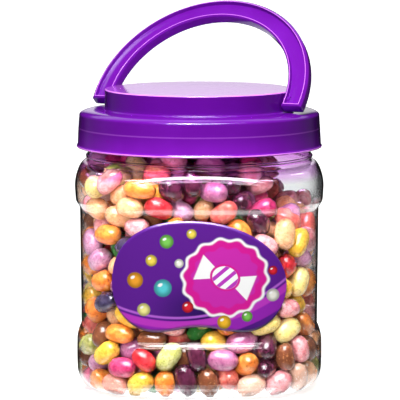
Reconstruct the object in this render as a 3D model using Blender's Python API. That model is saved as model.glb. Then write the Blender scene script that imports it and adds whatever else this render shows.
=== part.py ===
"""A clear plastic jar of jelly beans with a screw lid and a swinging carry handle.

Metres, +Z up. The origin is at the middle of the jar's base, on the surface it stands on.
The labelled front faces -Y. The lid was screwed on a little past square, so its handle
hinge is turned about Z, and the handle leans back from upright.
"""

from math import cos, pi, radians, sin

import bmesh
import bpy
from mathutils import Matrix

for old in list(bpy.data.objects):
    bpy.data.objects.remove(old)

# ---------------------------------------------------------------- driving dimensions
WALL = 0.0012                # jar wall
GAP = 0.0003                 # clearance between pieces that touch
AROUND = 52                  # points round the jar
TURNED = 60                  # points round a turned piece
ROUND_STEPS = 4              # steps up the jar's heel and shoulder

# Jar, outside: half width across the flats and the power of the rounded-square plan
BASE_HALF = 0.0545
LOWER_HALF = 0.0660
PANEL_HALF = 0.0640
UPPER_HALF = 0.0669
UPPER_FOOT_HALF = 0.0666      # where the upper bulge leaves the panel's slope
BASE_POWER = 2.9
BULGE_POWER = 3.4
PANEL_POWER = 3.6
ROUND_POWER = 2.0
FLOOR = 0.0018               # thickness of the base
HEEL_HEIGHT = 0.0115
LOWER_TOP = 0.0260           # top of the lower bulge
PANEL_BOTTOM = 0.0340
PANEL_TOP = 0.0965
UPPER_BOTTOM = 0.1030
UPPER_WIDEST = 0.1085
SHOULDER_TOP = 0.1205
NECK_RADIUS = 0.0603
BEAD_RADIUS = 0.0615
BEAD_Z = 0.1234
BEAD_HALF_HEIGHT = 0.0011
RIM_Z = 0.1463

# Lid
LIP_Z = 0.1281
LIP_RADIUS = 0.0664
LIP_HEIGHT = 0.0016
SKIRT_RADIUS = 0.0658        # below the ledge
LEDGE_Z = 0.1387
COLLAR_RADIUS = 0.0653       # above the ledge
SHOULDER_Z = 0.1484
SHOULDER_ROUND = 0.0026
LID_WALL = 0.0017
DISC_RADIUS = 0.0511
DISC_TOP = 0.1593
DISC_ROUND = 0.0007
BOSS_RADIUS = 0.0040
BOSS_INNER_END = 0.0430
BORE_RADIUS = 0.0023
BORE_INNER_END = 0.0446
LEDGE_DROP = 0.0005
ROD_SIDES = 20               # sides of the hinge's bosses, bores and pins

# Handle: a flat band on an arc whose centre is on the hinge line
HINGE_Z = 0.1550
HINGE_TURN = radians(26.9)   # clockwise from +X, seen from above
LEAN = radians(39.5)         # back from upright
ARC_INNER = 0.05175
BAND_WIDTH = 0.01145
BAND_THICKNESS = 0.0073
BAND_CHAMFER = 0.0008
FOOT_BELOW_HINGE = 0.0056
FOOT_CHAMFER = 0.0009        # lets the feet turn clear of the lid's shoulder
CHANNEL_BORDER = 0.0016
CHANNEL_DEPTH = 0.0009
CHANNEL_DRAFT = 0.0002       # slope of the channel's walls
PIN_RADIUS = 0.0020
PIN_INNER_END = 0.0450
PIN_EMBED = 0.0030
ARC_STEPS = 44
ARC_SPARE = radians(12.0)    # swept past level at each leg, then cut off

# Label: a bean-shaped sticker on the front panel
LABEL_HALF_WIDTH = 0.0457
LABEL_END_Z = 0.0610
LABEL_RISE = 0.0343
LABEL_CREST_X = -0.0050
LABEL_LEFT_POWER = 2.4
LABEL_RIGHT_POWER = 2.0
LABEL_DROP = 0.0245
LABEL_DIP = 0.0028
LABEL_FILM = 0.0003
LABEL_COLUMNS = 32

# Beans: one heap, up in the neck on the left and fallen away at the right of the shoulder
HEAP_LEFT_Z = 0.1270
HEAP_RIGHT_Z = 0.1080
HEAP_FALL_START = 0.022
HEAP_FALL_END = 0.052
HEAP_RELIEF = 0.0020
HEAP_RELIEF_PITCH = 0.014
HEAP_GRID = 24


# ---------------------------------------------------------------- small tools
def material(name, colour, roughness, alpha=1.0):
    """A Principled BSDF of one colour."""
    made = bpy.data.materials.new(name)
    made.use_nodes = True
    shader = made.node_tree.nodes["Principled BSDF"]
    shader.inputs["Base Color"].default_value = (*colour, 1.0)
    shader.inputs["Roughness"].default_value = roughness
    shader.inputs["Metallic"].default_value = 0.0
    shader.inputs["Alpha"].default_value = alpha
    made.diffuse_color = (*colour, alpha)
    return made


def add_object(name, bm, look=None):
    """Put a finished bmesh in the scene as one object."""
    bmesh.ops.recalc_face_normals(bm, faces=bm.faces)
    mesh = bpy.data.meshes.new(name)
    bm.to_mesh(mesh)
    bm.free()
    if look:
        mesh.materials.append(look)
    made = bpy.data.objects.new(name, mesh)
    bpy.context.scene.collection.objects.link(made)
    return made


def shade(made, angle=35.0):
    """Smooth shading that keeps the sharp edges."""
    made.data.shade_smooth()
    made.data.set_sharp_from_angle(angle=radians(angle))


def cutter(made):
    """Hide a shape that only cuts or joins another."""
    made.hide_render = True
    made.display_type = "WIRE"
    return made


def boolean(made, other, operation):
    """Add an exact Boolean modifier."""
    step = made.modifiers.new(f"{operation.lower()}_{other.name}", "BOOLEAN")
    step.operation = operation
    step.solver = "EXACT"
    step.object = other


def loft(loops_of_points):
    """A closed body through a stack of loops of as many points each, capped at both ends."""
    bm = bmesh.new()
    loops = [[bm.verts.new(point) for point in points] for points in loops_of_points]
    for lower, upper in zip(loops, loops[1:]):
        for i in range(len(lower)):
            bm.faces.new((lower[i - 1], lower[i], upper[i], upper[i - 1]))
    for end in (loops[0], loops[-1]):
        bm.faces.new(end)
    return bm


def arc(centre, radius_x, radius_z, start, end, steps):
    """Profile points (distance from the middle, height) round part of an ellipse, in degrees."""
    turn = [radians(start + (end - start) * i / steps) for i in range(steps + 1)]
    return [(centre[0] + radius_x * cos(a), centre[1] + radius_z * sin(a)) for a in turn]


def smooth_step(value, low, high):
    """0 below low, 1 above high, and a smooth rise between."""
    t = min(max((value - low) / (high - low), 0.0), 1.0)
    return t * t * (3.0 - 2.0 * t)


# ---------------------------------------------------------------- jar
def plan_reach(half, power, angle):
    """Distance from the middle to a rounded-square plan, in one direction."""
    return half / (abs(cos(angle)) ** power + abs(sin(angle)) ** power) ** (1.0 / power)


def plan_loop(half, power, z, around=AROUND):
    """Points round a rounded-square plan. A power of 2 is a circle."""
    points = []
    for i in range(around):
        angle = 2.0 * pi * i / around
        reach = plan_reach(half, power, angle)
        points.append((reach * cos(angle), reach * sin(angle), z))
    return points


def body_sections(inset):
    """(half width, power, height) up the jar's body, moved in by inset."""
    heel = HEEL_HEIGHT - inset
    heel_out = LOWER_HALF - BASE_HALF - inset
    sections = []
    for reach, height in arc((0.0, HEEL_HEIGHT), heel_out, heel, -90.0, 0.0, ROUND_STEPS):
        share = reach / heel_out
        power = BASE_POWER + (BULGE_POWER - BASE_POWER) * share
        sections.append((BASE_HALF + reach, power, height))
    sections += [
        (LOWER_HALF - inset, BULGE_POWER, LOWER_TOP),
        (PANEL_HALF - inset, PANEL_POWER, PANEL_BOTTOM),
        (PANEL_HALF - inset, PANEL_POWER, PANEL_TOP),
        (UPPER_FOOT_HALF - inset, BULGE_POWER, UPPER_BOTTOM),
        (UPPER_HALF - inset, BULGE_POWER, UPPER_WIDEST),
    ]
    rise = SHOULDER_TOP - UPPER_WIDEST - inset
    run = UPPER_HALF - NECK_RADIUS
    for reach, height in arc((NECK_RADIUS, UPPER_WIDEST), run, rise, 18.0, 90.0, ROUND_STEPS):
        share = (reach - NECK_RADIUS) / run
        power = ROUND_POWER + (BULGE_POWER - ROUND_POWER) * share
        sections.append((reach - inset, power, height))
    return sections


def make_jar(look):
    outside = body_sections(0.0)
    outside += [
        (NECK_RADIUS, ROUND_POWER, BEAD_Z - BEAD_HALF_HEIGHT),
        (BEAD_RADIUS, ROUND_POWER, BEAD_Z),
        (NECK_RADIUS, ROUND_POWER, BEAD_Z + BEAD_HALF_HEIGHT),
        (NECK_RADIUS, ROUND_POWER, RIM_Z),
    ]
    inside = [(NECK_RADIUS - WALL, ROUND_POWER, RIM_Z)] + body_sections(WALL)[::-1]
    lowest = inside[-1]
    inside[-1] = (lowest[0], lowest[1], FLOOR)
    return add_object("jar", loft([plan_loop(*section) for section in outside + inside]), look)


# ---------------------------------------------------------------- beans
def heap_height(x, y):
    """Top of the heap: high on the left, low at the right, and lumpy all over."""
    fall = smooth_step(x - 0.15 * y, HEAP_FALL_START, HEAP_FALL_END)
    level = HEAP_LEFT_Z + (HEAP_RIGHT_Z - HEAP_LEFT_Z) * fall
    wave = 2.0 * pi / HEAP_RELIEF_PITCH
    lumps = sin(wave * x + 0.6) * cos(0.9 * wave * y) + 0.5 * sin(1.3 * wave * (x + y))
    return level + HEAP_RELIEF * lumps


def make_beans(look):
    inset = WALL + GAP
    sections = body_sections(inset)
    lowest = sections[0]
    sections[0] = (lowest[0], lowest[1], FLOOR + GAP)
    sections.append((NECK_RADIUS - inset, ROUND_POWER, RIM_Z))
    heap = add_object("beans", loft([plan_loop(*section) for section in sections]), look)

    air = bmesh.new()
    bmesh.ops.create_grid(air, x_segments=HEAP_GRID, y_segments=HEAP_GRID, size=1.2 * UPPER_HALF)
    for corner in air.verts:
        corner.co.z = heap_height(corner.co.x, corner.co.y)
    top = bmesh.ops.extrude_face_region(air, geom=air.faces[:])
    for corner in top["geom"]:
        if isinstance(corner, bmesh.types.BMVert):
            corner.co.z = DISC_TOP
    boolean(heap, cutter(add_object("air_above_heap", air)), "DIFFERENCE")
    return heap


# ---------------------------------------------------------------- lid
def turned(profile):
    """Loops round Z through a profile of (radius, height)."""
    return [plan_loop(radius, ROUND_POWER, z, TURNED) for radius, z in profile]


def rod(name, radius, start, end):
    """A round rod along X, between two distances from the hinge's middle."""
    bm = bmesh.new()
    bmesh.ops.create_cone(
        bm, cap_ends=True, segments=ROD_SIDES, radius1=radius, radius2=radius, depth=abs(end - start)
    )
    along_x = Matrix.Rotation(pi / 2.0, 4, "Y")
    place = Matrix.Translation(((start + end) / 2.0, 0.0, 0.0))
    bmesh.ops.transform(bm, matrix=place @ along_x, verts=bm.verts)
    return add_object(name, bm)


def place_on_hinge(made, lean):
    """Stand a shape made about its own X on the hinge line."""
    made.location = (0.0, 0.0, HINGE_Z)
    made.rotation_euler = (-lean, 0.0, -HINGE_TURN)
    return made


def make_lid(look):
    crown = (COLLAR_RADIUS - SHOULDER_ROUND, SHOULDER_Z - SHOULDER_ROUND)
    outside = [
        (DISC_RADIUS - DISC_ROUND, DISC_TOP),
        (DISC_RADIUS, DISC_TOP - DISC_ROUND),
        (DISC_RADIUS, SHOULDER_Z),
        *arc(crown, SHOULDER_ROUND, SHOULDER_ROUND, 90.0, 0.0, 3),
        (COLLAR_RADIUS, LEDGE_Z),
        (SKIRT_RADIUS, LEDGE_Z - LEDGE_DROP),
        (SKIRT_RADIUS, LIP_Z + LIP_HEIGHT),
        (LIP_RADIUS, LIP_Z + 0.5 * LIP_HEIGHT),
        (LIP_RADIUS, LIP_Z),
    ]
    inside = [
        (COLLAR_RADIUS - LID_WALL, LIP_Z),
        (COLLAR_RADIUS - LID_WALL, SHOULDER_Z - LID_WALL),
        (DISC_RADIUS - LID_WALL, SHOULDER_Z - LID_WALL),
        (DISC_RADIUS - LID_WALL, DISC_TOP - LID_WALL),
    ]
    lid = add_object("lid", loft(turned(outside + inside)), look)
    boss_end = DISC_RADIUS - 0.5 * LID_WALL
    bore_end = DISC_RADIUS + BORE_RADIUS
    for end, side in (("near", 1.0), ("far", -1.0)):
        boss = rod(f"{end}_boss", BOSS_RADIUS, side * BOSS_INNER_END, side * boss_end)
        boolean(lid, cutter(place_on_hinge(boss, 0.0)), "UNION")
        bore = rod(f"{end}_bore", BORE_RADIUS, side * BORE_INNER_END, side * bore_end)
        boolean(lid, cutter(place_on_hinge(bore, 0.0)), "DIFFERENCE")
    return lid


# ---------------------------------------------------------------- handle
def make_handle(look):
    """A flat section swept over an arc in the XZ plane, with its legs cut off and chamfered."""
    inner = ARC_INNER
    outer = ARC_INNER + BAND_WIDTH
    half = BAND_THICKNESS / 2.0
    chamfer = BAND_CHAMFER
    section = [
        (inner, half - chamfer), (inner, chamfer - half),
        (inner + chamfer, -half), (outer - chamfer, -half),
        (outer, chamfer - half), (outer, half - chamfer),
        (outer - chamfer, half), (inner + chamfer, half),
    ]
    bm = bmesh.new()
    corners = [bm.verts.new((radius, side, 0.0)) for radius, side in section]
    edges = [bm.edges.new((corner, corners[i - 1])) for i, corner in enumerate(corners)]
    middle = (0.0, 0.0, 0.0)
    bmesh.ops.rotate(bm, cent=middle, matrix=Matrix.Rotation(ARC_SPARE, 3, "Y"), verts=corners)
    bmesh.ops.spin(
        bm, geom=edges, cent=middle, axis=(0.0, -1.0, 0.0), angle=pi + 2.0 * ARC_SPARE,
        steps=ARC_STEPS,
    )
    for side in (0.0, -1.0, 1.0):
        reach = FOOT_BELOW_HINGE - abs(side) * FOOT_CHAMFER
        bmesh.ops.bisect_plane(
            bm, geom=bm.verts[:] + bm.edges[:] + bm.faces[:], plane_co=(0.0, side * half, -reach),
            plane_no=(0.0, side, -1.0), clear_outer=True,
        )
        bmesh.ops.holes_fill(bm, edges=[edge for edge in bm.edges if edge.is_boundary])
    bmesh.ops.recalc_face_normals(bm, faces=bm.faces)

    # The channel moulded into each broad face stops short of the feet.
    for side in (-1.0, 1.0):
        broad = [face for face in bm.faces if face.normal.y * side > 0.99]
        border = CHANNEL_BORDER - chamfer
        bmesh.ops.inset_region(bm, faces=broad, thickness=border, use_even_offset=True)
        bmesh.ops.inset_region(
            bm, faces=broad, thickness=CHANNEL_DRAFT, depth=-CHANNEL_DEPTH, use_even_offset=True
        )
    handle = place_on_hinge(add_object("handle", bm, look), LEAN)
    for end, side in (("near", 1.0), ("far", -1.0)):
        pin = rod(f"{end}_pin", PIN_RADIUS, side * PIN_INNER_END, side * (ARC_INNER + PIN_EMBED))
        boolean(handle, cutter(place_on_hinge(pin, LEAN)), "UNION")
    return handle


# ---------------------------------------------------------------- label
def label_top(x):
    """Upper edge of the sticker: one long crown, fuller on the left."""
    off = x - LABEL_CREST_X
    if off < 0.0:
        share, power = -off / (LABEL_HALF_WIDTH + LABEL_CREST_X), LABEL_LEFT_POWER
    else:
        share, power = off / (LABEL_HALF_WIDTH - LABEL_CREST_X), LABEL_RIGHT_POWER
    return LABEL_END_Z + LABEL_RISE * (1.0 - share ** power) ** (1.0 / power)


def label_bottom(x):
    """Lower edge of the sticker: two lobes with a shallow dip between them."""
    lobe = LABEL_HALF_WIDTH / 2.0
    share = (abs(x) - lobe) / lobe
    if share > 0.0:
        return LABEL_END_Z - LABEL_DROP * (1.0 - share * share) ** 0.5
    return LABEL_END_Z - LABEL_DROP + LABEL_DIP * cos(pi * x / (2.0 * lobe)) ** 2


def panel_front(x):
    """How far the front panel stands off the middle, at x."""
    return PANEL_HALF * (1.0 - abs(x / PANEL_HALF) ** PANEL_POWER) ** (1.0 / PANEL_POWER)


def make_label(look):
    sections = []
    for i in range(LABEL_COLUMNS + 1):
        x = -LABEL_HALF_WIDTH * cos(pi * (i + 0.5) / (LABEL_COLUMNS + 1))
        back = -panel_front(x) - GAP
        front = back - LABEL_FILM
        low, high = label_bottom(x), label_top(x)
        sections.append([(x, back, low), (x, back, high), (x, front, high), (x, front, low)])
    return add_object("label", loft(sections), look)


# ---------------------------------------------------------------- build
clear_plastic = material("clear_plastic", (0.93, 0.95, 0.96), 0.05, alpha=0.25)
purple_plastic = material("purple_plastic", (0.20, 0.015, 0.45), 0.18)
printed_film = material("printed_film", (0.10, 0.012, 0.33), 0.25)
sugar_shell = material("sugar_shell", (0.86, 0.42, 0.30), 0.22)

shade(make_jar(clear_plastic))
shade(make_beans(sugar_shell))
shade(make_label(printed_film))
shade(make_lid(purple_plastic))
shade(make_handle(purple_plastic))
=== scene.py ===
"""A clear plastic jar of jelly beans with a purple screw lid and a swinging carry handle.

The sections follow the jar as it is put together: the blown jar, the beans poured into it,
the sticker on its front, the screw lid and the carry handle. The studio comes last.
Metres, +Z up, with the labelled front towards -Y.
"""

import math

import bmesh
import bpy
import numpy as np
from mathutils import Matrix, Vector, noise


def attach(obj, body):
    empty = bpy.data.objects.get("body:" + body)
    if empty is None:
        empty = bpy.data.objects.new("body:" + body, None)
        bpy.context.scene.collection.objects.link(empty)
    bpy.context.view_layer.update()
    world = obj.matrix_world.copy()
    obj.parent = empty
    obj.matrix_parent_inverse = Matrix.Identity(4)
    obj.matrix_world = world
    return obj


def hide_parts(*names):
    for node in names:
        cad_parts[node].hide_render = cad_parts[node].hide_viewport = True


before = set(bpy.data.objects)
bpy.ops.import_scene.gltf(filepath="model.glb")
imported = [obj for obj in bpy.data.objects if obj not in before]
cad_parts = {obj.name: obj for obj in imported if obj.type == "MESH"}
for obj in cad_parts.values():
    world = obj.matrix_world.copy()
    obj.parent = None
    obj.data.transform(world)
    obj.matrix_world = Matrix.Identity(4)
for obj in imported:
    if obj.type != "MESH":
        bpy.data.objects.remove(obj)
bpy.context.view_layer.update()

# ---------------------------------------------------------------- jar
# The jar is blown from clear PET: a rounded-square body with a bulge at its foot and at its
# shoulder, a recessed panel between them for the sticker, and a round neck with a bead that
# the lid sits over. Its wall is under a millimetre.
JAR_AROUND = 128
JAR_WALL = 0.0007
BASE_RING = 0.0440           # inner edge of the ring that the jar stands on
BASE_HALF = 0.0545
HEEL_HEIGHT = 0.0115
FOOT_HALF = 0.0660
FOOT_TOP = 0.0265
PANEL_LOW = (0.0636, 0.0325)
PANEL_HIGH = (0.0642, 0.0972)
BULGE_LOW = (0.0665, 0.1022)
BULGE_HALF = 0.0669
BULGE_WIDEST = 0.1085
SHOULDER_TOP = 0.1205
NECK_RADIUS = 0.0603
BEAD_Z = 0.1234
BEAD_RADIUS = 0.0011
RIM_Z = 0.1462


def ellipse_arc(centre, reach, rise, start, end, steps):
    """Profile points (half width, height) round part of an ellipse, in degrees."""
    turns = [math.radians(start + (end - start) * i / steps) for i in range(steps + 1)]
    return [(centre[0] + reach * math.cos(a), centre[1] + rise * math.sin(a)) for a in turns]


def eased_step(low, high, steps):
    """Profile points on a soft S between two (half width, height) points."""
    points = []
    for i in range(1, steps):
        t = i / steps
        soft = t * t * (3.0 - 2.0 * t)
        points.append((low[0] + (high[0] - low[0]) * soft, low[1] + (high[1] - low[1]) * t))
    return points


def plan_power(z):
    """How square the jar's plan is at a height: 2 is a circle, and 3.6 the flattest panel."""
    if z < HEEL_HEIGHT:
        share = math.sqrt(max(0.0, 1.0 - (1.0 - max(z, 0.0) / HEEL_HEIGHT) ** 2))
        return 2.9 + 0.5 * share
    if z > BULGE_WIDEST:
        share = min(1.0, (z - BULGE_WIDEST) / (SHOULDER_TOP - BULGE_WIDEST))
        return 2.0 + 1.4 * math.sqrt(1.0 - share * share)
    heights = [HEEL_HEIGHT, FOOT_TOP, PANEL_LOW[1], PANEL_HIGH[1], BULGE_LOW[1], BULGE_WIDEST]
    return float(np.interp(z, heights, [3.4, 3.4, 3.6, 3.6, 3.4, 3.4]))


def finish_mesh(name, bm, material):
    """Make a finished bmesh one smooth-shaded piece with one material."""
    mesh = bpy.data.meshes.new(name)
    bm.to_mesh(mesh)
    bm.free()
    mesh.materials.append(material)
    mesh.shade_smooth()
    piece = bpy.data.objects.new(name, mesh)
    bpy.context.scene.collection.objects.link(piece)
    return piece


def spin_profile(bm, points, steps):
    """Turn a profile of (radius, height) points right round Z."""
    corners = [bm.verts.new((radius, 0.0, z)) for radius, z in points]
    edges = [bm.edges.new(pair) for pair in zip(corners, corners[1:])]
    bmesh.ops.spin(
        bm, geom=corners + edges, cent=(0, 0, 0), axis=(0, 0, 1), angle=2.0 * math.pi,
        steps=steps, use_merge=True,
    )
    bmesh.ops.remove_doubles(bm, verts=bm.verts, dist=1e-6)
    bmesh.ops.recalc_face_normals(bm, faces=bm.faces)


class Finish:
    """A Principled material under construction, with its Object coordinates to hand."""

    def __init__(self, name, **shader_values):
        self.material = bpy.data.materials.new(name)
        self.material.use_nodes = True
        self.nodes = self.material.node_tree.nodes
        self.links = self.material.node_tree.links
        self.shader = self.nodes["Principled BSDF"]
        self.output = self.nodes["Material Output"]
        self.place = self.add("ShaderNodeTexCoord").outputs["Object"]
        for socket, value in shader_values.items():
            self.shader.inputs[socket.replace("_", " ")].default_value = value

    def add(self, kind, _settings=None, **inputs):
        """Add a node, with its settings and its input values or links by name."""
        node = self.nodes.new(kind)
        for key, value in (_settings or {}).items():
            setattr(node, key, value)
        for key, value in inputs.items():
            socket = node.inputs[int(key[1:]) if key[1:].isdigit() else key.replace("_", " ")]
            self.feed(socket, value)
        return node

    def feed(self, socket, value):
        """Link an output to a socket, or set the socket's own value."""
        if isinstance(value, bpy.types.NodeSocket):
            self.links.new(value, socket)
        else:
            socket.default_value = value

    def math(self, operation, *values, clamp=False):
        """A Math node's result."""
        inputs = {f"i{i}": value for i, value in enumerate(values)}
        settings = {"operation": operation, "use_clamp": clamp}
        return self.add("ShaderNodeMath", settings, **inputs).outputs[0]

    def noise(self, scale, detail=2.0, place=None):
        """Noise about 0.5, at so many waves to the metre."""
        node = self.add("ShaderNodeTexNoise", Vector=place or self.place, Scale=scale, Detail=detail)
        return node.outputs["Fac"]

    def ramp(self, value, low, high, out_low=0.0, out_high=1.0):
        """A value moved from one range to another with soft ends."""
        node = self.add(
            "ShaderNodeMapRange", {"interpolation_type": "SMOOTHSTEP"}, Value=value,
            From_Min=low, From_Max=high, To_Min=out_low, To_Max=out_high,
        )
        return node.outputs["Result"]

    def blend(self, share, under, over):
        """One colour laid over another."""
        settings = {"data_type": "RGBA"}
        return self.add("ShaderNodeMix", settings, i0=share, i6=under, i7=over).outputs[2]

    def bump(self, height, depth):
        """Surface relief of so many metres."""
        node = self.add("ShaderNodeBump", Height=height, Distance=depth)
        self.links.new(node.outputs["Normal"], self.shader.inputs["Normal"])


outside = [(0.0, 0.0014), (0.020, 0.0013), (0.036, 0.0011)]
outside += [(0.0415, 0.0007), (BASE_RING, 0.0), (0.0500, 0.0)]
outside += ellipse_arc((BASE_HALF, HEEL_HEIGHT), FOOT_HALF - BASE_HALF, HEEL_HEIGHT, -90, 0, 10)
outside += [(FOOT_HALF + 0.0001, 0.0165), (FOOT_HALF + 0.0001, 0.0215), (FOOT_HALF, FOOT_TOP)]
outside += eased_step(outside[-1], PANEL_LOW, 7)
outside += [PANEL_LOW, (0.0637, 0.0380), (0.0638, 0.0550), (0.0640, 0.0750), (0.0641, 0.0920)]
outside += [PANEL_HIGH] + eased_step(PANEL_HIGH, BULGE_LOW, 7) + [BULGE_LOW]
outside += ellipse_arc(
    (NECK_RADIUS + 0.0009, BULGE_WIDEST), BULGE_HALF - NECK_RADIUS - 0.0009,
    SHOULDER_TOP - BULGE_WIDEST, 0, 86, 12,
)
outside += [(NECK_RADIUS + 0.0002, SHOULDER_TOP + 0.0002), (NECK_RADIUS, SHOULDER_TOP + 0.0008)]
outside += ellipse_arc((NECK_RADIUS, BEAD_Z), BEAD_RADIUS, BEAD_RADIUS, -90, 90, 6)
outside += [(NECK_RADIUS, 0.1350), (NECK_RADIUS, RIM_Z - 0.0002), (NECK_RADIUS - 0.0003, RIM_Z)]

bm = bmesh.new()
spin_profile(bm, outside, JAR_AROUND)
for corner in bm.verts:
    radius = math.hypot(corner.co.x, corner.co.y)
    if radius > 1e-6:
        power = plan_power(corner.co.z)
        across, along = abs(corner.co.x) / radius, abs(corner.co.y) / radius
        reach = (across**power + along**power) ** (-1.0 / power)
        corner.co.x *= reach
        corner.co.y *= reach
bmesh.ops.recalc_face_normals(bm, faces=bm.faces)
if sum(face.normal.dot(face.calc_center_median()) for face in bm.faces) < 0.0:
    bmesh.ops.reverse_faces(bm, faces=bm.faces)
bmesh.ops.solidify(bm, geom=bm.faces[:], thickness=JAR_WALL)

clear = Finish("clear_pet", Transmission_Weight=1.0, IOR=1.5)
jar_height = clear.add("ShaderNodeSeparateXYZ", Vector=clear.place).outputs["Z"]
# Near the lid the clear plastic turns purple: a painted reflection of the lid in the jar's shoulder.
painted_lid_reflection = clear.ramp(jar_height, 0.1130, 0.1185)
glass = clear.blend(painted_lid_reflection, (0.97, 0.985, 0.99, 1.0), (0.86, 0.50, 0.93, 1.0))
clear.feed(clear.shader.inputs["Base Color"], glass)
clear.feed(clear.shader.inputs["Roughness"], clear.ramp(clear.noise(60.0), 0.4, 0.8, 0.0, 0.02))
clear.bump(clear.noise(38.0, 1.0), 0.00016)
passing = clear.add("ShaderNodeBsdfTransparent", Color=(0.97, 0.985, 0.99, 1.0))
for_lamps = clear.add("ShaderNodeLightPath").outputs["Is Shadow Ray"]
either = clear.add("ShaderNodeMixShader", i0=for_lamps, i1=clear.shader.outputs[0], i2=passing.outputs[0])
clear.links.new(either.outputs[0], clear.output.inputs["Surface"])

jar = finish_mesh("jar_wall", bm, clear.material)
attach(jar, "jar")
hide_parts("jar")

# ---------------------------------------------------------------- beans
# About thirteen hundred jelly beans, each some 15 mm long: a chewy centre under a polished
# sugar shell, no two quite alike. They are poured in, so each lies against its neighbours or
# flat against the wall, and the heap is high on the left and hollow at the right shoulder.
BEAN_COUNT = 1060
BEAN_LENGTH = 0.0162
BEAN_WIDTH = 0.0112
BEAN_BEND = 0.0007
POUR_TILT = math.radians(8.0)
POUR_PULL = 0.00004          # how far the beans sink between two shoves
POUR_ROUNDS = 420
LIE_FLAT = 0.12              # how readily a bean against the wall turns to lie along it
TOPPLE = 0.006               # how readily a standing bean falls over
HOLLOW_START = 0.026         # where the heap starts to fall away at the right
HOLLOW_END = 0.044
HEAP_TOP = 0.1330
HOLLOW_TOP = 0.1040

draw = np.random.default_rng(7)
half_length = (0.5 * BEAN_LENGTH * draw.normal(1.0, 0.07, BEAN_COUNT)).clip(0.0066, 0.0094)
half_width = (0.5 * BEAN_WIDTH * draw.normal(1.0, 0.055, BEAN_COUNT)).clip(0.0047, 0.0061)
focus = np.sqrt(half_length**2 - half_width**2)
stations = np.array([-1.0, -0.55, 0.0, 0.55, 1.0])
along_bean = 0.68 * focus[:, None] * stations
ball_radius = half_width[:, None] * np.sqrt(1.0 - (along_bean / focus[:, None]) ** 2)
sag = BEAN_BEND * (1.0 - stations**2) * np.ones((BEAN_COUNT, 1))
sag = sag - sag.mean(axis=1, keepdims=True)

wall_points = [point for point in outside if point[1] > 0.0] + [(NECK_RADIUS, RIM_Z)]
wall_points = sorted(wall_points[4:], key=lambda point: point[1])
wall_z = np.array([z for _, z in wall_points])
wall_half = np.array([half - JAR_WALL for half, _ in wall_points])
wall_power = np.array([plan_power(z) for z in wall_z])
floor_z = 0.0014 + JAR_WALL


def unit(vectors):
    """Vectors of length 1."""
    return vectors / np.linalg.norm(vectors, axis=-1, keepdims=True).clip(1e-12)


def wall_push(balls, radii):
    """How far balls stand into the jar's wall, and the way back out of it."""
    z = balls[..., 2]
    half, power = np.interp(z, wall_z, wall_half), np.interp(z, wall_z, wall_power)
    step = 0.0005
    slope = np.interp(z + step, wall_z, wall_half) - np.interp(z - step, wall_z, wall_half)
    slope = (slope / (2.0 * step)).clip(-2.0, 2.0)
    x, y = np.abs(balls[..., 0]), np.abs(balls[..., 1])
    total = x**power + y**power
    outward = np.stack([
        np.sign(balls[..., 0]) * x ** (power - 1.0) * total ** (1.0 / power - 1.0),
        np.sign(balls[..., 1]) * y ** (power - 1.0) * total ** (1.0 / power - 1.0),
        -slope,
    ], axis=-1)
    steep = np.linalg.norm(outward, axis=-1)
    depth = ((total ** (1.0 / power) - half) / steep + radii).clip(0.0)
    return outward * (depth / steep)[..., None]


centre = []
while len(centre) < BEAN_COUNT:
    spot = draw.uniform([-0.06, -0.06, 0.006], [0.06, 0.06, 0.135])
    half, power = np.interp(spot[2], wall_z, wall_half), np.interp(spot[2], wall_z, wall_power)
    reach = (abs(spot[0]) ** power + abs(spot[1]) ** power) ** (1.0 / power)
    if reach < half - 0.006 and spot[2] < 0.127 - 0.13 * max(0.0, spot[0]):
        centre.append(spot)
centre = np.array(centre)
axis = unit(draw.normal(size=(BEAN_COUNT, 3)))
crown = unit(np.cross(axis, draw.normal(size=(BEAN_COUNT, 3))))
down = np.array([-math.sin(POUR_TILT), 0.0, -math.cos(POUR_TILT)])

for pour in range(POUR_ROUNDS):
    done = pour / POUR_ROUNDS
    swell = min(1.0, 0.6 + 0.4 * done / 0.3)
    if pour % 6 == 0:
        squares = (centre**2).sum(axis=1)
        apart = squares[:, None] + squares[None] - 2.0 * centre @ centre.T
        first, second = np.nonzero(np.triu(apart < (1.1 * BEAN_LENGTH) ** 2, 1))
    balls = centre[:, None] + axis[:, None] * along_bean[..., None] + crown[:, None] * sag[..., None]
    balls = balls + down * POUR_PULL * max(0.0, 1.0 - done / 0.9)
    gap = balls[first][:, :, None] - balls[second][:, None]
    distance = np.sqrt((gap**2).sum(axis=-1))
    overlap = (ball_radius[first][:, :, None] + ball_radius[second][:, None]) * swell - distance
    pair, one, other = np.nonzero(overlap > 0.0)
    shove = gap[pair, one, other] / distance[pair, one, other][:, None].clip(1e-9)
    shove *= 0.5 * overlap[pair, one, other][:, None]
    ball_one, ball_other = first[pair] * 5 + one, second[pair] * 5 + other
    count = 5 * BEAN_COUNT
    moved = np.stack([
        np.bincount(ball_one, shove[:, k], count) - np.bincount(ball_other, shove[:, k], count)
        for k in range(3)
    ], axis=1).reshape(BEAN_COUNT, 5, 3)
    touches = np.bincount(ball_one, minlength=count) + np.bincount(ball_other, minlength=count)
    touches = touches.reshape(BEAN_COUNT, 5).sum(axis=1)
    balls += moved * (9.0 / np.maximum(touches, 3))[:, None, None]
    push = wall_push(balls, ball_radius * swell)
    balls -= push
    balls[..., 2] += (floor_z + ball_radius * swell - balls[..., 2]).clip(0.0)
    centre = balls.mean(axis=1)
    spread = balls - centre[:, None]
    axis = (spread * along_bean[..., None]).sum(axis=1)
    facing = unit(push.sum(axis=1))
    axis = unit(axis - LIE_FLAT * facing * (axis * facing).sum(axis=1, keepdims=True))
    axis = unit(axis * (1.0, 1.0, 1.0 - TOPPLE * max(0.0, 1.0 - done / 0.9)))
    crown = (spread * sag[..., None]).sum(axis=1) + 1e-6 * crown
    crown = unit(crown - axis * (crown * axis).sum(axis=1, keepdims=True))

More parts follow.
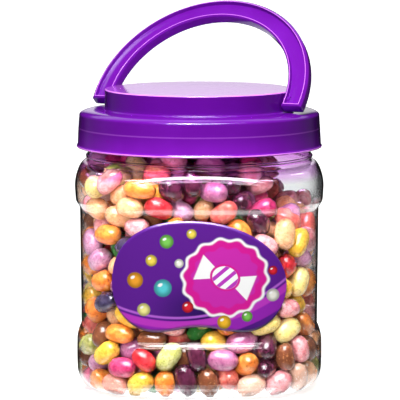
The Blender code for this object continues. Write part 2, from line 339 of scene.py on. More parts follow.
fall = ((centre[:, 0] - 0.15 * centre[:, 1] - HOLLOW_START) / (HOLLOW_END - HOLLOW_START)).clip(0, 1)
heap = HEAP_TOP + (HOLLOW_TOP - HEAP_TOP) * fall * fall * (3.0 - 2.0 * fall)
kept = np.nonzero(centre[:, 2] + 0.4 * BEAN_WIDTH < heap)[0]


def bean_mould(seed):
    """One bean of length 2 along X and width 2, blunt and slightly lumpy; it is bent where it is placed."""
    bm = bmesh.new()
    bmesh.ops.create_cube(bm, size=2.0)
    bmesh.ops.subdivide_edges(bm, edges=bm.edges, cuts=3, use_grid_fill=True)
    for corner in bm.verts:
        face_on = Vector([math.tan(0.25 * math.pi * value) for value in corner.co])
        way = face_on.normalized()
        lump = 1.0 + 0.07 * noise.noise(way * 1.3 + Vector((seed * 7.1, 0.0, 0.0)))
        girth = max(math.hypot(way.y, way.z), 1e-3) ** -0.12
        corner.co = Vector((math.copysign(abs(way.x) ** 0.88, way.x), way.y * girth, way.z * girth)) * lump
        corner.co.y *= 1.0 + 0.05 * math.sin(seed * 2.3)
    bmesh.ops.recalc_face_normals(bm, faces=bm.faces)
    mesh = bpy.data.meshes.new(f"bean_mould_{seed}")
    bm.to_mesh(mesh)
    bm.free()
    return mesh


def sugar_shell(name, colour, pale, speckle, speckle_share):
    """A polished sugar shell, cloudy and streaked, darker towards its ends in painted shade, and for some
    flavours speckled.
    """
    shell = Finish(
        name, Roughness=0.22, IOR=1.45, Specular_IOR_Level=0.25, Coat_Weight=1.0,
        Coat_Roughness=0.08, Coat_IOR=1.7, Subsurface_Weight=0.12, Subsurface_Radius=(1.0, 0.5, 0.3),
        Subsurface_Scale=0.002,
    )
    tint = shell.add("ShaderNodeAttribute", {"attribute_name": "tint"}).outputs["Fac"]
    tip = shell.add("ShaderNodeAttribute", {"attribute_name": "tip"}).outputs["Fac"]
    cloud = shell.ramp(shell.noise(300.0, 4.0), 0.40, 0.62)
    paler = shell.math("ADD", shell.math("MULTIPLY", cloud, 0.75), shell.math("MULTIPLY", tint, 0.3))
    body = shell.blend(paler, (*colour, 1.0), (*pale, 1.0))
    deeper = tuple(0.35 * value for value in colour)
    grain = shell.math("MULTIPLY", shell.ramp(shell.noise(800.0, 3.0), 0.48, 0.72), 0.5)
    # Fine grain darkens the shell, and so does painted shade towards each bean's ends.
    grain_and_painted_tip_shade = shell.math("ADD", grain, shell.math("MULTIPLY", shell.ramp(tip, 0.45, 1.1), 0.60))
    body = shell.blend(grain_and_painted_tip_shade, body, (*deeper, 1.0))
    if speckle_share > 0.0:
        spots = shell.ramp(shell.noise(1100.0, 1.0), 0.72 - 0.08 * speckle_share, 0.67)
        body = shell.blend(shell.math("MULTIPLY", spots, 0.85), body, (*speckle, 1.0))
    shell.feed(shell.shader.inputs["Base Color"], body)
    shell.bump(shell.noise(240.0, 2.0), 0.00035)
    return shell.material


# name, share of the heap, shell colour, paler side, speckle colour, share of speckles
FLAVOURS = [
    ("rose_pink", 10, (0.72, 0.21, 0.24), (0.82, 0.42, 0.42), (0.516, 0.08, 0.108), 0.0),
    ("coral", 8, (0.66, 0.085, 0.075), (0.76, 0.23, 0.17), (0.516, 0.08, 0.072), 0.0),
    ("lilac", 7, (0.54, 0.20, 0.37), (0.69, 0.36, 0.50), (0.344, 0.08, 0.216), 0.0),
    ("mauve", 5, (0.33, 0.075, 0.19), (0.47, 0.17, 0.29), (0.258, 0.08, 0.216), 0.0),
    ("peach", 11, (0.76, 0.31, 0.13), (0.83, 0.47, 0.26), (0.516, 0.16, 0.072), 0.0),
    ("orange", 12, (0.76, 0.17, 0.022), (0.81, 0.29, 0.055), (0.516, 0.08, 0), 0.0),
    ("white", 5, (0.80, 0.70, 0.60), (0.84, 0.78, 0.72), (0.602, 0.30, 0.20), 0.3),
    ("cream", 8, (0.79, 0.57, 0.36), (0.83, 0.66, 0.48), (0.602, 0.176, 0.144), 0.6),
    ("pale_yellow", 8, (0.79, 0.56, 0.15), (0.83, 0.65, 0.29), (0.43, 0.32, 0.072), 0.0),
    ("golden", 7, (0.75, 0.37, 0.025), (0.79, 0.49, 0.075), (0.43, 0.24, 0), 0.0),
    ("lime", 7, (0.44, 0.43, 0.10), (0.60, 0.56, 0.23), (0.172, 0.208, 0.0216), 0.7),
    ("green", 6, (0.055, 0.25, 0.075), (0.13, 0.38, 0.14), (0.0172, 0.12, 0.0144), 0.4),
    ("red", 5, (0.50, 0.012, 0.022), (0.62, 0.045, 0.055), (0.258, 0, 0), 0.0),
    ("plum", 5, (0.050, 0.006, 0.020), (0.095, 0.014, 0.042), (0, 0, 0), 0.0),
    ("blackcurrant", 4, (0.026, 0.016, 0.052), (0.058, 0.045, 0.10), (0, 0, 0), 0.0),
    ("caramel", 7, (0.34, 0.11, 0.035), (0.46, 0.19, 0.075), (0.129, 0.032, 0.0144), 0.5),
    ("berry", 5, (0.42, 0.022, 0.10), (0.56, 0.065, 0.17), (0.172, 0, 0.072), 0.0),
]
# How many times likelier some flavours are in a part of the heap
FOOT_LIKINGS = {
    "plum": 1.7, "golden": 1.6, "orange": 1.5, "caramel": 1.3, "white": 0.5, "cream": 0.6,
    "lilac": 0.6, "rose_pink": 0.7,
}
SIDE_LIKINGS = {
    "rose_pink": 10.0, "peach": 6.0, "orange": 5.0, "coral": 4.0, "white": 3.5, "cream": 2.0,
    "pale_yellow": 4.0, "lime": 0.4, "green": 0.5,
}
# Under the shoulder's middle the dark flavours are partly the heap's own mix and partly painted shade, standing
# in for the lid's shadow and purple cast.
MIDDLE_LIKINGS = {"plum": 12.0, "berry": 15.0, "red": 18.0, "mauve": 12.0, "orange": 2.0, "lilac": 0.1}
# At the neck the paler pinks are partly the mix that lies there and partly painted light, where the lid keeps
# the lamps off.
NECK_LIKINGS = {
    "berry": 24.0, "rose_pink": 16.0, "lilac": 16.0, "mauve": 8.0, "coral": 16.0, "red": 6.0,
    "green": 0.0,
}
moulds = [bean_mould(seed) for seed in range(8)]
shares = np.array([flavour[1] for flavour in FLAVOURS], float)
names = [flavour[0] for flavour in FLAVOURS]
heap_height = centre[:, 2]
off_middle = np.abs(centre[:, 0] - 0.003)
regions = (
    (heap_height < 0.045, FOOT_LIKINGS),
    ((heap_height > 0.083) & (off_middle > 0.028) | (centre[:, 0] > 0.040), SIDE_LIKINGS),
    ((heap_height > 0.101) & (off_middle < 0.028), MIDDLE_LIKINGS),
    (heap_height > 0.1145, NECK_LIKINGS),
)
chances = np.tile(shares, (BEAN_COUNT, 1))
for region, likings in regions:
    chances[region] = shares
    for name, times in likings.items():
        chances[region, names.index(name)] *= times
chances /= chances.sum(axis=1, keepdims=True)
picked = (chances.cumsum(axis=1) < draw.uniform(size=(BEAN_COUNT, 1))).sum(axis=1)
tints = draw.uniform(0.0, 1.0, BEAN_COUNT)
mould_of = draw.integers(0, len(moulds), BEAN_COUNT)

bean_pieces = []
for index, (name, _, colour, pale, speckle, speckle_share) in enumerate(FLAVOURS):
    bm = bmesh.new()
    tint_layer = bm.verts.layers.float.new("tint")
    tip_layer = bm.verts.layers.float.new("tip")
    for i in kept[picked[kept] == index]:
        start = len(bm.verts)
        bm.from_mesh(moulds[mould_of[i]])
        bm.verts.ensure_lookup_table()
        fresh = bm.verts[start:]
        for corner in fresh:
            corner[tint_layer] = tints[i]
            corner[tip_layer] = abs(corner.co.x)
            bend = BEAN_BEND * (0.5 - corner.co.x**2)
            corner.co.x *= half_length[i]
            corner.co.y *= half_width[i]
            corner.co.z = corner.co.z * half_width[i] + bend
        side = np.cross(crown[i], axis[i])
        turn = Matrix((axis[i], side, crown[i])).transposed().to_4x4()
        bmesh.ops.transform(bm, matrix=Matrix.Translation(centre[i]) @ turn, verts=fresh)
    bean_pieces.append(finish_mesh(
        f"beans_{name}", bm, sugar_shell(name, colour, pale, speckle, speckle_share)
    ))
for mould in moulds:
    bpy.data.meshes.remove(mould)
for piece in bean_pieces:
    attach(piece, "jar")
    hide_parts("beans")

# ---------------------------------------------------------------- label
# A bean-shaped sticker of printed film on the front panel, pressed flat to the jar. The print
# is a plain confectioner's pattern: a scalloped badge with a wrapped sweet, bands and drops.
LABEL_HALF_WIDTH = 0.0457
LABEL_MIDDLE_Z = 0.0610
LABEL_RISE = 0.0343
LABEL_CREST_X = -0.0050
LABEL_DROP = 0.0245
LABEL_DIP = 0.0028
LABEL_FILM = 0.00025


def label_edges(x):
    """Lower and upper edge of the sticker at x."""
    off = x - LABEL_CREST_X
    side = LABEL_HALF_WIDTH + math.copysign(1.0, -off) * LABEL_CREST_X
    power = 2.4 if off < 0.0 else 2.0
    top = LABEL_RISE * max(0.0, 1.0 - abs(off / side) ** power) ** (1.0 / power)
    lobe = LABEL_HALF_WIDTH / 2.0
    share = (abs(x) - lobe) / lobe
    if share > 0.0:
        bottom = LABEL_DROP * math.sqrt(max(0.0, 1.0 - share * share))
    else:
        bottom = LABEL_DROP - LABEL_DIP * math.cos(math.pi * x / (2.0 * lobe)) ** 2
    return LABEL_MIDDLE_Z - bottom, LABEL_MIDDLE_Z + top


bm = bmesh.new()
bmesh.ops.create_grid(bm, x_segments=72, y_segments=28, size=1.0)
for corner in bm.verts:
    x = LABEL_HALF_WIDTH * math.sin(0.5 * math.pi * corner.co.x)
    low, high = label_edges(x)
    z = low + (high - low) * 0.5 * (corner.co.y + 1.0)
    half = float(np.interp(z, [PANEL_LOW[1], PANEL_HIGH[1]], [PANEL_LOW[0], PANEL_HIGH[0]]))
    front = half * (1.0 - abs(x / half) ** 3.6) ** (1.0 / 3.6)
    corner.co = (x, -front - LABEL_FILM - 0.0001, z)
bmesh.ops.remove_doubles(bm, verts=bm.verts, dist=1e-6)
bmesh.ops.recalc_face_normals(bm, faces=bm.faces)
if sum(face.normal.y for face in bm.faces) > 0.0:
    bmesh.ops.reverse_faces(bm, faces=bm.faces)
bmesh.ops.solidify(bm, geom=bm.faces[:], thickness=LABEL_FILM)

film = Finish("printed_film", Roughness=0.28, IOR=1.45, Coat_Weight=0.3, Coat_Roughness=0.1)
VIOLET, NAVY = (0.108, 0.014, 0.270, 1.0), (0.022, 0.006, 0.105, 1.0)
MAGENTA, PINK, LILAC = (0.66, 0.012, 0.30, 1.0), (0.50, 0.040, 0.52, 1.0), (0.46, 0.12, 0.66, 1.0)
PURPLE, WHITE = (0.30, 0.020, 0.44, 1.0), (0.95, 0.95, 0.95, 1.0)


def on_label(x, z, size_x, size_z, turn=0.0):
    """The label's surface centred on a motif, 1 at its edge. Depth is left out."""
    return film.add(
        "ShaderNodeMapping", {"vector_type": "TEXTURE"}, Vector=film.place,
        Location=(x, 0.0, z), Rotation=(0.0, math.radians(turn), 0.0), Scale=(size_x, 1e3, size_z),
    ).outputs[0]


def reach_of(place):
    """Distance from a motif's middle."""
    return film.add("ShaderNodeVectorMath", {"operation": "LENGTH"}, i0=place).outputs["Value"]


def inside(reach, edge=1.0, soft=0.03):
    """1 inside a motif, and 0 outside it."""
    return film.ramp(reach, edge + soft, edge - soft)


ground = film.blend(film.ramp(reach_of(on_label(0.006, 0.046, 0.040, 0.026)), 0.0, 1.0), NAVY, VIOLET)
sweep = reach_of(on_label(-0.012, 0.150, 0.100, 0.108))
for outer, inner, colour in ((1.085, 0.995, PURPLE), (1.030, 0.997, PINK), (0.985, 0.974, LILAC)):
    band = film.math("MULTIPLY", inside(sweep, outer, 0.004), film.math(
        "SUBTRACT", 1.0, inside(sweep, inner, 0.004)))
    ground = film.blend(band, ground, colour)

badge = film.add("ShaderNodeSeparateXYZ", Vector=on_label(0.0135, 0.0655, 0.0215, 0.0195, -8.0)).outputs
angle = film.math("ARCTAN2", badge["Z"], badge["X"])
ripple = film.math("MULTIPLY", film.math("COSINE", film.math("MULTIPLY", angle, 14.0)), 0.035)
radius = reach_of(on_label(0.0135, 0.0655, 0.0215, 0.0195, -8.0))
radius = film.math("ADD", radius, ripple)
ground = film.blend(inside(radius, 1.06), ground, WHITE)
ground = film.blend(inside(radius, 0.99), ground, MAGENTA)
ground = film.blend(film.math("MULTIPLY", inside(radius, 0.80), 0.5), ground, PINK)
wrapped = reach_of(on_label(0.0135, 0.0655, 0.0072, 0.0062, 22.0))
paper = film.add("ShaderNodeSeparateXYZ", Vector=on_label(0.0135, 0.0655, 0.0150, 0.0070, 22.0)).outputs
wide = film.math("ABSOLUTE", paper["X"])
fan = film.math("SUBTRACT", film.math("ABSOLUTE", paper["Z"]), wide)
fan = film.math("MULTIPLY", film.ramp(fan, 0.03, -0.03), film.ramp(wide, 1.03, 0.97))
ground = film.blend(fan, ground, WHITE)
ground = film.blend(inside(wrapped, 1.12), ground, MAGENTA)
ground = film.blend(inside(wrapped, 0.95), ground, WHITE)
stripe = film.add("ShaderNodeSeparateXYZ", Vector=on_label(0.0135, 0.0655, 0.0030, 0.0030, 50.0)).outputs
stripe = film.ramp(film.math("SINE", film.math("MULTIPLY", stripe["X"], 4.2)), 0.1, 0.3)
ground = film.blend(film.math("MULTIPLY", stripe, inside(wrapped, 0.95)), ground, PINK)

# Drops: x, z, radius across, radius up, turn, colour
DROPS = [
    (-0.0335, 0.0640, 0.0042, 0.0042, 0, (0.86, 0.36, 0.03)),
    (-0.0250, 0.0745, 0.0030, 0.0030, 0, (0.90, 0.70, 0.10)),
    (-0.0170, 0.0845, 0.0036, 0.0036, 0, (0.20, 0.58, 0.10)),
    (-0.0105, 0.0730, 0.0024, 0.0024, 0, (0.90, 0.88, 0.80)),
    (-0.0190, 0.0600, 0.0046, 0.0046, 0, (0.10, 0.62, 0.66)),
    (-0.0060, 0.0500, 0.0030, 0.0030, 0, (0.74, 0.02, 0.04)),
    (-0.0290, 0.0485, 0.0034, 0.0034, 0, (0.90, 0.84, 0.30)),
    (-0.0040, 0.0885, 0.0026, 0.0026, 0, (0.90, 0.70, 0.10)),
    (0.0130, 0.0420, 0.0036, 0.0036, 0, (0.90, 0.50, 0.03)),
    (0.0250, 0.0450, 0.0028, 0.0028, 0, (0.20, 0.58, 0.10)),
    (0.0385, 0.0560, 0.0034, 0.0034, 0, (0.90, 0.88, 0.80)),
    (0.0385, 0.0690, 0.0024, 0.0024, 0, (0.74, 0.02, 0.04)),
]
for x, z, across, up, turn, colour in DROPS:
    drop = reach_of(on_label(x, z, across, up, turn))
    shade = tuple(0.45 * value for value in colour)
    shine = reach_of(on_label(x - 0.3 * across, z + 0.35 * up, 0.35 * across, 0.22 * up, -30.0))
    ground = film.blend(inside(drop, 1.0, 0.06), ground, (*shade, 1.0))
    ground = film.blend(inside(drop, 0.62, 0.36), ground, (*colour, 1.0))
    ground = film.blend(inside(shine, 0.8, 0.3), ground, WHITE)
film.feed(film.shader.inputs["Base Color"], ground)
film.bump(film.noise(700.0, 2.0), 0.00001)

label = finish_mesh("label_film", bm, film.material)
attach(label, "jar")
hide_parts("label")

# ---------------------------------------------------------------- lid
# A screw lid moulded in glossy purple plastic: a skirt with a rolled lip and one fine ledge,
# a rounded shoulder, and a raised disc that carries the handle on two pivots.
LID_AROUND = 160
LID_WALL = 0.0017
LIP_Z = 0.1281
LIP_RADIUS = 0.0664
SKIRT_RADIUS = 0.0658
LEDGE_Z = 0.1387
COLLAR_RADIUS = 0.0653
SHOULDER_Z = 0.1484
SHOULDER_ROUND = 0.0030
SHOULDER_REACH = 0.0090
DISC_RADIUS = 0.0511
DISC_TOP = 0.1593
DISC_ROUND = 0.0009
DISC_FOOT_ROUND = 0.0008
DRAFT = 0.0004               # how much each wall of the lid widens downwards
HINGE_Z = 0.1550
HINGE_TURN = math.radians(26.9)
BOSS_RADIUS = 0.0040


def purple_plastic(name, strength, gloss, painted_shade_bands):
    """Glossy moulded plastic of a deep violet. Painted shade bands darken its colour by height."""
    plastic = Finish(name, IOR=1.5, Specular_IOR_Level=gloss)
    height = plastic.add("ShaderNodeSeparateXYZ", Vector=plastic.place).outputs["Z"]
    flow = plastic.ramp(plastic.noise(45.0, 2.0), 0.3, 0.7)
    tones = [[strength * value for value in tone] for tone in ((0.190, 0.008, 0.43), (0.210, 0.010, 0.48))]
    body = plastic.blend(flow, (*tones[0], 1.0), (*tones[1], 1.0))
    # Each band blends in painted shade above its height.
    for low, high, depth in painted_shade_bands:
        share = plastic.math("MULTIPLY", plastic.ramp(height, low, high), depth)
        body = plastic.blend(share, body, (0.060, 0.001, 0.15, 1.0))
    # Where the vertex attribute says so, a pale lilac is laid over the plastic as a painted highlight.
    painted_highlight = plastic.add("ShaderNodeAttribute", {"attribute_name": "painted_highlight"}).outputs["Fac"]
    body = plastic.blend(painted_highlight, body, (0.80, 0.23, 0.98, 1.0))
    plastic.feed(plastic.shader.inputs["Base Color"], body)
    grain = plastic.noise(500.0, 3.0)
    plastic.feed(plastic.shader.inputs["Roughness"], plastic.ramp(grain, 0.3, 0.7, 0.08, 0.14))
    plastic.bump(plastic.noise(25.0, 0.0), 0.00004)
    return plastic.material


section = [(0.0, DISC_TOP), (0.030, DISC_TOP), (DISC_RADIUS - 0.003, DISC_TOP)]
section += [(DISC_RADIUS - DISC_ROUND - 0.0003, DISC_TOP)]
section += ellipse_arc(
    (DISC_RADIUS - DISC_ROUND, DISC_TOP - DISC_ROUND), DISC_ROUND, DISC_ROUND, 90, 0, 5
)
section += [(DISC_RADIUS, DISC_TOP - DISC_ROUND - 0.0003)]
section += [(DISC_RADIUS, SHOULDER_Z + DISC_FOOT_ROUND + 0.0003)]
section += ellipse_arc(
    (DISC_RADIUS + DISC_FOOT_ROUND, SHOULDER_Z + DISC_FOOT_ROUND), DISC_FOOT_ROUND,
    DISC_FOOT_ROUND, 180, 270, 4,
)
section += [(COLLAR_RADIUS - DRAFT - SHOULDER_REACH - 0.0003, SHOULDER_Z)]
section += ellipse_arc(
    (COLLAR_RADIUS - DRAFT - SHOULDER_REACH, SHOULDER_Z - SHOULDER_ROUND), SHOULDER_REACH,
    SHOULDER_ROUND, 90, 2, 10,
)
section += [(COLLAR_RADIUS - DRAFT, SHOULDER_Z - SHOULDER_ROUND - 0.0004)]
section += [(COLLAR_RADIUS, LEDGE_Z + 0.0004), (COLLAR_RADIUS, LEDGE_Z + 0.0001)]
section += [(SKIRT_RADIUS - DRAFT, LEDGE_Z - 0.0003), (SKIRT_RADIUS - DRAFT, LEDGE_Z - 0.0006)]
section += [(SKIRT_RADIUS, LIP_Z + 0.0020), (SKIRT_RADIUS + 0.00005, LIP_Z + 0.0017)]
section += [(SKIRT_RADIUS + 0.0002, LIP_Z + 0.0014)]
section += ellipse_arc((LIP_RADIUS - 0.0006, LIP_Z + 0.0006), 0.0006, 0.0006, 50, -90, 7)
inner_skirt = COLLAR_RADIUS - LID_WALL
inner_disc = DISC_RADIUS - LID_WALL
section += [(inner_skirt, LIP_Z), (inner_skirt, SHOULDER_Z - LID_WALL)]
section += [(inner_disc, SHOULDER_Z - LID_WALL), (inner_disc, DISC_TOP - LID_WALL)]
section += [(0.0, DISC_TOP - LID_WALL)]
bm = bmesh.new()
spin_profile(bm, section, LID_AROUND)
painted_highlight_layer = bm.verts.layers.float.new("painted_highlight")
# Painted highlights: pale lines on the lip, the disc's top edge and the ledge, and a paler painted sheen over
# the disc's flat top.
for corner in bm.verts:
    radius = math.hypot(corner.co.x, corner.co.y)
    on_lip = corner.co.z < LIP_Z + 0.0010 and radius > SKIRT_RADIUS
    on_disc_edge = corner.co.z > DISC_TOP - 0.0006 and radius > DISC_RADIUS - 0.0007
    on_ledge = abs(corner.co.z - LEDGE_Z) < 0.00035 and radius > COLLAR_RADIUS - 0.0002
    on_top = corner.co.z > DISC_TOP - 0.0002
    corner[painted_highlight_layer] = max(1.0 * (on_lip or on_disc_edge), 0.35 * on_top, 0.12 * on_ledge)
# Painted shade: the lid darkens from the lip to just above the ledge, and darker again from the shoulder up over
# the disc.
PAINTED_SHADE_BANDS = ((LIP_Z, LEDGE_Z + 0.0030, 0.50), (SHOULDER_Z - 0.001, SHOULDER_Z + 0.003, 0.40))
lid = finish_mesh("screw_lid", bm, purple_plastic("lid_plastic", 0.87, 0.4, PAINTED_SHADE_BANDS))
lid.data.set_sharp_from_angle(angle=math.radians(50.0))
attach(lid, "jar")
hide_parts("lid")

# ---------------------------------------------------------------- handle
# A carry handle moulded in the same plastic: a flat band bent in a half ring, with a shallow
# channel along each broad face and a pin at each foot that turns in the lid's raised disc.
LEAN = math.radians(39.5)
ARC_INNER = 0.05175
BAND_WIDTH = 0.01145
BAND_HALF = 0.00365
BAND_CHAMFER = 0.0009
FOOT_DEPTH = 0.0056
FOOT_CHAMFER = 0.0009
OUTER_CHAMFER = 0.0014
CHANNEL_BORDER = 0.00032     # flat rim between a chamfer and the channel
CHANNEL_DRAFT = 0.0004
CHANNEL_DEPTH = 0.0024
PIN_RADIUS = 0.0020
ARC_SPARE = math.radians(12.0)

arc_outer = ARC_INNER + BAND_WIDTH
band_section = [
    (ARC_INNER, BAND_HALF - BAND_CHAMFER), (ARC_INNER, BAND_CHAMFER - BAND_HALF),
    (ARC_INNER + BAND_CHAMFER, -BAND_HALF), (arc_outer - OUTER_CHAMFER, -BAND_HALF),
    (arc_outer, OUTER_CHAMFER - BAND_HALF), (arc_outer, BAND_HALF - OUTER_CHAMFER),
    (arc_outer - OUTER_CHAMFER, BAND_HALF), (ARC_INNER + BAND_CHAMFER, BAND_HALF),
]
bm = bmesh.new()
painted_highlight_layer = bm.verts.layers.float.new("painted_highlight")
corners = [bm.verts.new((radius, side, 0.0)) for radius, side in band_section]
edges = [bm.edges.new((corner, corners[i - 1])) for i, corner in enumerate(corners)]
middle = (0.0, 0.0, 0.0)
bmesh.ops.rotate(bm, cent=middle, matrix=Matrix.Rotation(ARC_SPARE, 3, "Y"), verts=corners)
bmesh.ops.spin(
    bm, geom=edges, cent=middle, axis=(0.0, -1.0, 0.0), angle=math.pi + 2.0 * ARC_SPARE, steps=96
)
for side in (0.0, -1.0, 1.0):
    reach = FOOT_DEPTH - abs(side) * FOOT_CHAMFER
    bmesh.ops.bisect_plane(
        bm, geom=bm.verts[:] + bm.edges[:] + bm.faces[:], plane_co=(0.0, side * BAND_HALF, -reach),
        plane_no=(0.0, side, -1.0), clear_outer=True,
    )
    bmesh.ops.holes_fill(bm, edges=[edge for edge in bm.edges if edge.is_boundary])
bmesh.ops.recalc_face_normals(bm, faces=bm.faces)
for side in (-1.0, 1.0):
    broad = [face for face in bm.faces if face.normal.y * side > 0.999]
    bmesh.ops.inset_region(bm, faces=broad, thickness=CHANNEL_BORDER, use_even_offset=True)
    bmesh.ops.inset_region(
        bm, faces=broad, thickness=CHANNEL_DRAFT, depth=-CHANNEL_DEPTH, use_even_offset=True
    )
corner_edges = [edge for edge in bm.edges if edge.calc_face_angle(0.0) > math.radians(25.0)]
rounded = bmesh.ops.bevel(
    bm, geom=corner_edges, offset=0.00014, offset_type="OFFSET", segments=2, profile=0.5,
    affect="EDGES", material=-1, clamp_overlap=True,
)
# Painted highlights: pale lines along the rounded edges of the broad faces.
for corner in rounded["verts"]:
    if abs(corner.co.y) > BAND_HALF - 0.00007:
        corner[painted_highlight_layer] = 0.7
for start, end in ((0.0450, ARC_INNER + 0.003), (-ARC_INNER - 0.003, -0.0450)):
    pin = bmesh.ops.create_cone(
        bm, cap_ends=True, segments=24, radius1=PIN_RADIUS, radius2=PIN_RADIUS, depth=end - start
    )
    lie = Matrix.Translation(((start + end) / 2.0, 0.0, 0.0)) @ Matrix.Rotation(math.pi / 2.0, 4, "Y")
    bmesh.ops.transform(bm, matrix=lie, verts=pin["verts"])
hang = Matrix.Translation((0.0, 0.0, HINGE_Z)) @ Matrix.Rotation(-HINGE_TURN, 4, "Z")
bmesh.ops.transform(bm, matrix=hang @ Matrix.Rotation(-LEAN, 4, "X"), verts=bm.verts)
handle = finish_mesh("carry_handle", bm, purple_plastic("handle_plastic", 0.64, 0.22, ()))
handle.data.set_sharp_from_angle(angle=math.radians(40.0))
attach(handle, "handle")
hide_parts("handle")

# ---------------------------------------------------------------- studio
# A pale floor, a bright backdrop, three soft boxes in front (one high, one near and low, one low on the left),
# and black flags that draw the clear jar's edges.
bpy.context.scene.view_settings.view_transform = "Standard"

bm = bmesh.new()
bmesh.ops.create_grid(bm, x_segments=1, y_segments=1, size=8.0)
pale = Finish(
    "pale_floor", Base_Color=(0.90, 0.90, 0.90, 1.0), Roughness=0.6,
    Emission_Color=(1.0, 1.0, 1.0, 1.0), Emission_Strength=0.75,
)
floor = finish_mesh("floor", bm, pale.material)
floor.visible_glossy = False
floor.visible_diffuse = False
floor.visible_transmission = False

world = bpy.data.worlds.new("studio")
bpy.context.scene.world = world
world.use_nodes = True
sky = world.node_tree
towards = sky.nodes.new("ShaderNodeTexCoord").outputs["Generated"]
split = sky.nodes.new("ShaderNodeSeparateXYZ")
sky.links.new(towards, split.inputs[0])


def sky_math(operation, *values):
    """A Math node's result in the world's own tree."""
    node = sky.nodes.new("ShaderNodeMath")
    node.operation = operation
    for socket, value in zip(node.inputs, values):
        if isinstance(value, bpy.types.NodeSocket):
            sky.links.new(value, socket)
        else:
            socket.default_value = value
    return node.outputs[0]


def sky_ramp(value, low, high, out_low, out_high):
    """A value moved from one range to another with soft ends."""
    node = sky.nodes.new("ShaderNodeMapRange")
    node.interpolation_type = "SMOOTHSTEP"
    sky.links.new(value, node.inputs["Value"])
    for name, limit in (("From Min", low), ("From Max", high), ("To Min", out_low), ("To Max", out_high)):
        node.inputs[name].default_value = limit
    return node.outputs["Result"]


def from_back(degrees):
    """The value of behind at so many degrees round from straight behind the jar."""
    return math.cos(math.radians(degrees))


height = split.outputs[2]
level = sky_math("SQRT", sky_math("SUBTRACT", 1.0, sky_math("MULTIPLY", height, height)))
behind = sky_math("DIVIDE", split.outputs[1], sky_math("MAXIMUM", level, 0.001))
rays = sky.nodes.new("ShaderNodeLightPath").outputs

# What lights matt surfaces: a dim room with a bright ceiling.
room = sky_ramp(behind, 0.6, -0.2, 0.03, 0.05)
room = sky_math("ADD", room, sky_ramp(height, 0.80, 0.97, 0.0, 1.7))
room = sky_math("ADD", room, sky_ramp(height, -0.35, -0.75, 0.0, 0.08))

# What shows in glossy surfaces: the backdrop above the table's edge, black flags on either
# side of it, the pale table top and two strip lights overhead.
above = sky_math("MULTIPLY", sky_ramp(behind, from_back(9.0), from_back(4.5), 0.0, 1.0),
                 sky_ramp(height, 0.0, 0.03, 0.0, 0.85))
flanks = sky_math("MULTIPLY", sky_ramp(behind, from_back(34.0), from_back(50.0), 0.01, 0.10),
                  sky_ramp(behind, -0.3, 0.2, 0.2, 1.0))
table = sky_math("MULTIPLY", sky_ramp(height, -0.87, -0.91, 0.0, 2.6), sky_ramp(height, -0.99, -0.97, 0.0, 1.0))
table = sky_math("ADD", table, sky_ramp(height, -0.58, -0.66, 0.0, 1.0))
beyond = sky_math("MULTIPLY", sky_ramp(height, -0.18, -0.30, 0.0, 1.3), sky_ramp(behind, 0.0, 0.3, 0.0, 1.0))
table = sky_math("MAXIMUM", table, beyond)
strip = sky_math("MULTIPLY", sky_ramp(height, 0.845, 0.86, 0.0, 1.0), sky_ramp(height, 0.90, 0.885, 0.0, 1.0))
strip = sky_math("MULTIPLY", strip, sky_ramp(behind, -0.15, -0.45, 0.0, 14.0))
streak = sky_math("MULTIPLY", sky_ramp(height, 0.72, 0.76, 0.0, 1.0), sky_ramp(height, 0.95, 0.92, 0.0, 1.0))
streak = sky_math("MULTIPLY", streak, sky_ramp(behind, -0.72, -0.88, 0.0, 22.0))
strip = sky_math("ADD", strip, streak)
shine = sky_math("ADD", sky_math("ADD", above, flanks), sky_math("ADD", table, strip))
rim = sky_math("MULTIPLY", sky_ramp(height, 0.38, 0.48, 0.0, 1.0), sky_ramp(height, 0.90, 0.80, 0.0, 1.0))
rim = sky_math("MULTIPLY", rim, sky_ramp(behind, from_back(55.0), from_back(40.0), 0.0, 1.0))
shine = sky_math("ADD", shine, sky_math("MULTIPLY", rim, 0.8))

# What is seen straight through clear plastic is white, but not what it bends steeply. The
# contents see a soft fill through it, and show a window in their gloss.
through = sky_ramp(height, 0.75, 0.55, 0.03, 1.0)
fill = sky_ramp(sky_math("ABSOLUTE", split.outputs[0]), 0.45, 0.85, 0.24, 1.0)
window = sky_math("MULTIPLY", sky_ramp(height, 0.52, 0.56, 0.0, 1.0), sky_ramp(height, 0.72, 0.68, 0.0, 1.0))
window = sky_math("MULTIPLY", window, sky_ramp(sky_math("ABSOLUTE", behind), 0.88, 0.92, 0.0, 16.0))
lit = sky_math("GREATER_THAN", rays["Diffuse Depth"], 0.5)
shown = sky_math("MULTIPLY", sky_math("GREATER_THAN", rays["Glossy Depth"], 0.5), sky_math("SUBTRACT", 1.0, lit))
plain = sky_math("SUBTRACT", sky_math("SUBTRACT", 1.0, lit), shown)
through = sky_math("MULTIPLY", through, plain)
through = sky_math("ADD", through, sky_math("MULTIPLY", fill, lit))
through = sky_math("ADD", through, sky_math("MULTIPLY", window, shown))

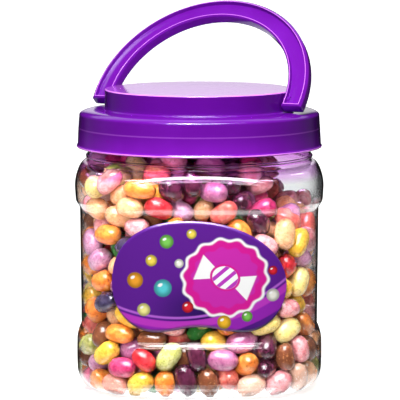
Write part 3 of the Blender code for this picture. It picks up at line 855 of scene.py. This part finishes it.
glow = sky_math("MULTIPLY", room, sky_math("SUBTRACT", 1.0, rays["Is Glossy Ray"]))
glow = sky_math("MULTIPLY", glow, sky_math("SUBTRACT", 1.0, rays["Is Transmission Ray"]))
glow = sky_math("ADD", glow, sky_math("MULTIPLY", shine, rays["Is Glossy Ray"]))
glow = sky_math("ADD", glow, sky_math("MULTIPLY", through, rays["Is Transmission Ray"]))
glow = sky_math("MAXIMUM", glow, rays["Is Camera Ray"])
sky.links.new(glow, sky.nodes["Background"].inputs["Strength"])
sky.nodes["Background"].inputs["Color"].default_value = (1.0, 1.0, 1.0, 1.0)


def soft_box(name, place, width, height, power):
    """A rectangular area light aimed at the middle of the jar."""
    lamp = bpy.data.lights.new(name, "AREA")
    lamp.shape = "RECTANGLE"
    lamp.size, lamp.size_y = width, height
    lamp.energy = power
    lamp.cycles.use_multiple_importance_sampling = False
    holder = bpy.data.objects.new(name, lamp)
    bpy.context.scene.collection.objects.link(holder)
    holder.location = place
    aim = Vector((0.0, 0.0, 0.08)) - holder.location
    holder.rotation_euler = aim.to_track_quat("-Z", "Y").to_euler()
    return holder


soft_box("key_box", (-0.12, -0.65, 1.21), 0.30, 0.20, 12.5)
front_box = soft_box("front_box", (-0.04, -0.30, 0.38), 0.26, 0.06, 1.8)
low_box = soft_box("low_box", (-0.60, -1.45, 0.12), 0.30, 0.10, 20.0)
low_box.visible_glossy = False
for lamp, name, pieces in (
    (front_box, "outside_jar", [jar, label, lid, handle]),
    (low_box, "inside_jar", bean_pieces),
):
    lit_by_it = bpy.data.collections.new(name)
    for piece in pieces:
        lit_by_it.objects.link(piece)
    lamp.light_linking.receiver_collection = lit_by_it

camera = bpy.data.objects.new("camera", bpy.data.cameras.new("camera"))
bpy.context.scene.collection.objects.link(camera)
camera.location = (0.0004, -1.5, 0.2783)
camera.rotation_euler = (math.radians(90.0 - 6.83), 0.0, 0.0)
camera.data.sensor_width = 36.0
camera.data.lens = 250.5
bpy.context.scene.camera = camera
